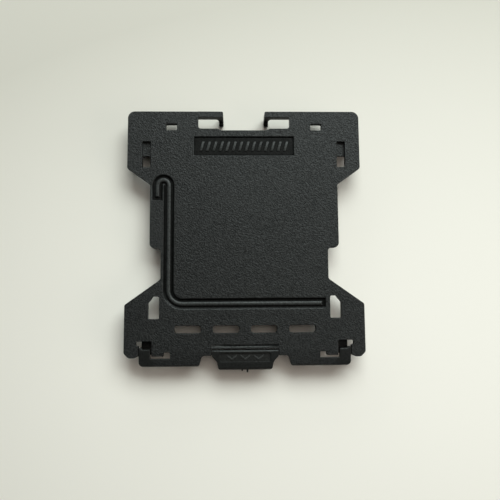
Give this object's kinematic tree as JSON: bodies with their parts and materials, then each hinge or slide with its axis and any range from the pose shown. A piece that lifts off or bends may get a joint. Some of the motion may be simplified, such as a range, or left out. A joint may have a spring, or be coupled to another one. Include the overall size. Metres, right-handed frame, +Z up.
{
  "type": "socket load plate cover",
  "caption": "Clip-on protective cover for a desktop processor socket's load plate, with finger clips, snap arms and a pull tab.",
  "frame": {"origin": "centre of the overall footprint, on the surface that the clips' feet stand on", "axes": "+Z up out of the cover's face, +Y towards the front edge with the two finger clips, X across the width"},
  "size_m": [0.047, 0.0516, 0.0042],
  "materials": {
    "grained_black": "matte black plastic with a fine spark-eroded grain",
    "smooth_black": "satin black plastic, smooth",
    "raised_black": "satin black plastic, rubbed a little on top"
  },
  "bodies": {
    "cover": {"cover_plate": "grained_black", "lever_outline_bead": "raised_black", "name_plaque": "smooth_black", "front_rail": "smooth_black", "rear_rail": "smooth_black", "left_rail": "smooth_black", "right_rail": "smooth_black"},
    "tab": {"pull_tab": "smooth_black"},
    "front_clip_left": {"front_finger_left": "grained_black", "front_hook_left": "smooth_black"},
    "front_clip_right": {"front_finger_right": "grained_black", "front_hook_right": "smooth_black"},
    "rear_clip_left": {"rear_arm_left": "smooth_black", "rear_hook_left": "smooth_black"},
    "rear_clip_right": {"rear_arm_right": "smooth_black", "rear_hook_right": "smooth_black"},
    "side_clip_left": {"side_hook_left": "smooth_black"},
    "side_clip_right": {"side_hook_right": "smooth_black"}
  },
  "joints": [
    {"name": "tab_bend", "type": "hinge", "parent": "cover", "child": "tab", "pos_m": [0, -0.0224, 0.00365], "axis": [-1, 0, 0], "range_deg": [-5, 20], "stiffness_Nm_per_rad": 0.05},
    {"name": "front_clip_left_flex", "type": "hinge", "parent": "cover", "child": "front_clip_left", "pos_m": [-0.00925, 0.0252, 0.00365], "axis": [1, 0, 0], "range_deg": [0, 15], "stiffness_Nm_per_rad": 0.04},
    {"name": "front_clip_right_flex", "type": "hinge", "parent": "cover", "child": "front_clip_right", "pos_m": [0.00925, 0.0252, 0.00365], "axis": [1, 0, 0], "range_deg": [0, 15], "stiffness_Nm_per_rad": 0.04},
    {"name": "rear_clip_left_flex", "type": "hinge", "parent": "cover", "child": "rear_clip_left", "pos_m": [-0.0146, -0.02428, 0.00365], "axis": [-1, 0, 0], "range_deg": [0, 10], "stiffness_Nm_per_rad": 0.035},
    {"name": "rear_clip_right_flex", "type": "hinge", "parent": "cover", "child": "rear_clip_right", "pos_m": [0.0146, -0.02428, 0.00365], "axis": [-1, 0, 0], "range_deg": [0, 10], "stiffness_Nm_per_rad": 0.035},
    {"name": "side_clip_left_flex", "type": "hinge", "parent": "cover", "child": "side_clip_left", "pos_m": [-0.021, 0.0191, 0.0031], "axis": [0, 1, 0], "range_deg": [0, 5], "stiffness_Nm_per_rad": 0.28},
    {"name": "side_clip_right_flex", "type": "hinge", "parent": "cover", "child": "side_clip_right", "pos_m": [0.021, 0.0191, 0.0031], "axis": [0, -1, 0], "range_deg": [0, 5], "stiffness_Nm_per_rad": 0.28}
  ]
}
